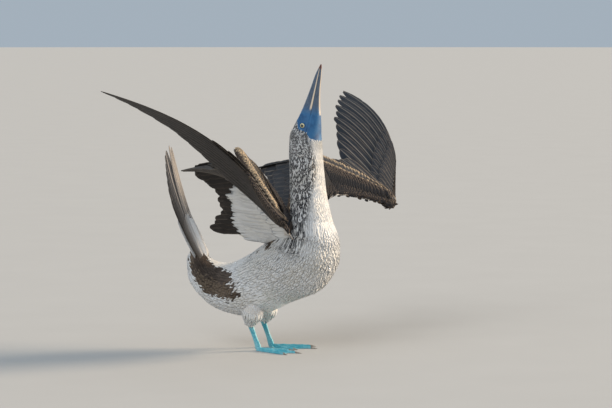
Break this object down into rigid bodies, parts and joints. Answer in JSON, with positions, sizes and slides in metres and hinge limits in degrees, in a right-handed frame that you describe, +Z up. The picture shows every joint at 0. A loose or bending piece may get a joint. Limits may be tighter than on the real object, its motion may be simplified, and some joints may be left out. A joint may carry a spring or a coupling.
{
  "type": "blue footed booby model",
  "caption": "Life-size still model of a blue-footed booby sky-pointing: bill to the sky, tail cocked, wings raised and half spread, turquoise webbed feet.",
  "frame": {"origin": "on the floor, under the middle of the bird's overall box", "axes": "+X to the front of the bird, +Y to its left side, +Z up"},
  "size_m": [0.3496, 1.0232, 0.5036],
  "materials": {
    "white_feathers": "dense soft body plumage, white with a faint cool grey in the folds",
    "streaked_feathers": "short pointed neck plumage, brown streaked with white",
    "wing_feathers": "dark brown wing coverts and secondaries with paler edges",
    "flight_feathers": "blackish brown primaries with pale shafts",
    "tail_feathers": "brown outer and pale central tail feathers",
    "face_skin": "bare slate blue skin of face and throat",
    "bill_horn": "satin horn, blue grey with a pale cutting edge",
    "eye_glaze": "glossy eye, pale yellow iris and small black pupil",
    "blue_skin": "turquoise blue scaled skin and webs, satin"
  },
  "bodies": {
    "root": {"torso": "white_feathers", "neck": "streaked_feathers", "head": "face_skin", "bill_upper": "bill_horn", "bill_lower": "bill_horn", "eye_l": "eye_glaze", "eye_r": "eye_glaze", "tail": "tail_feathers", "wing_upper_l": "wing_feathers", "wing_fore_l": "wing_feathers", "wing_hand_l": "flight_feathers", "thigh_l": "white_feathers", "shank_l": "blue_skin", "foot_l": "blue_skin", "wing_upper_r": "wing_feathers", "wing_fore_r": "wing_feathers", "wing_hand_r": "flight_feathers", "thigh_r": "white_feathers", "shank_r": "blue_skin", "foot_r": "blue_skin"}
  },
  "joints": []
}
